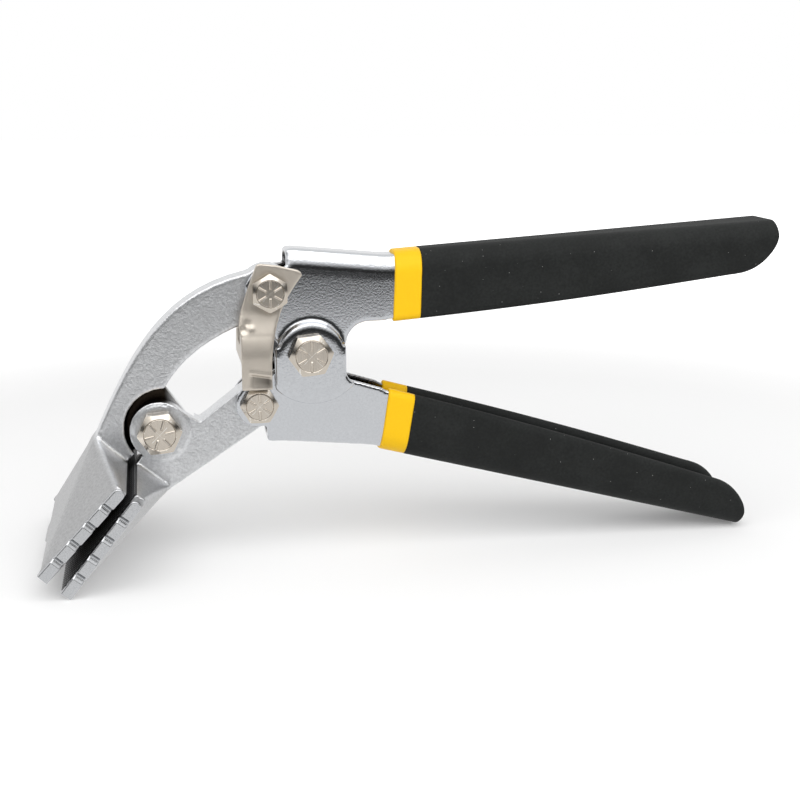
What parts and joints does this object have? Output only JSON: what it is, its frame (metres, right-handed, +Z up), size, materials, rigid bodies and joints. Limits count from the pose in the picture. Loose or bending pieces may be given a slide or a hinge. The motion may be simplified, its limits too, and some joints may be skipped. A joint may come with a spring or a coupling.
{
  "type": "offset hand seamer",
  "caption": "Offset hand seamer: wide bent sheet-metal jaws worked by two channel handles through a compound linkage, with dipped grips, a latch strap and an opening spring.",
  "frame": {"origin": "middle of the box's underside, on the table the tool stands on", "axes": "+X along the tool towards the handle ends, +Y across the jaws away from the bolt heads, +Z up"},
  "size_m": [0.2146, 0.07, 0.0934],
  "materials": {
    "jaw_steel": "satin plated forging",
    "handle_steel": "bright plated sheet",
    "latch_steel": "warm nickel plate",
    "bolt_steel": "warm nickel plate",
    "grip_vinyl": "matte dipped vinyl",
    "band_vinyl": "dipped vinyl",
    "insert_nylon": "natural nylon",
    "spring_wire": "oiled wire",
    "sleeve_steel": "turned"
  },
  "bodies": {
    "lower_handle": {"lower_handle": "handle_steel", "lower_grip": "grip_vinyl", "lower_band": "band_vinyl", "handle_pivot_bolt": "bolt_steel", "handle_pivot_nut": "bolt_steel", "handle_pivot_insert": "insert_nylon", "spring_sleeve": "sleeve_steel", "opening_spring": "spring_wire", "lower_link_bolt": "bolt_steel", "lower_link_nut": "bolt_steel", "lower_link_insert": "insert_nylon"},
    "upper_handle": {"upper_handle": "handle_steel", "upper_grip": "grip_vinyl", "upper_band": "band_vinyl", "upper_link_bolt": "bolt_steel", "upper_link_nut": "bolt_steel", "upper_link_insert": "insert_nylon"},
    "lower_jaw": {"lower_jaw": "jaw_steel", "jaw_pivot_bolt": "bolt_steel", "jaw_pivot_nut": "bolt_steel", "jaw_pivot_insert": "insert_nylon"},
    "upper_jaw": {"upper_jaw": "jaw_steel"},
    "latch": {"latch": "latch_steel"}
  },
  "joints": [
    {"name": "handle_squeeze", "type": "hinge", "parent": "lower_handle", "child": "upper_handle", "pos_m": [-0.03173, 0, 0.0585], "axis": [0, 1, 0], "range_deg": [-16, 8.5], "deforming": ["opening_spring"]},
    {"name": "lower_jaw_turn", "type": "hinge", "parent": "lower_handle", "child": "lower_jaw", "pos_m": [-0.04623, 0, 0.044], "axis": [0, 1, 0], "range_deg": [-19.1, 10.2]},
    {"name": "upper_jaw_turn", "type": "hinge", "parent": "lower_jaw", "child": "upper_jaw", "pos_m": [-0.07423, 0, 0.037], "axis": [0, 1, 0], "range_deg": [-4.3, 8.1]},
    {"name": "latch_swing", "type": "hinge", "parent": "upper_handle", "child": "latch", "pos_m": [-0.04283, 0, 0.0762], "axis": [0, 1, 0], "range_deg": [0, 15]}
  ],
  "couplings": [
    {"joint": "lower_jaw_turn", "follows": "handle_squeeze", "ratio": 1.189},
    {"joint": "upper_jaw_turn", "follows": "handle_squeeze", "ratio": -0.5027}
  ]
}
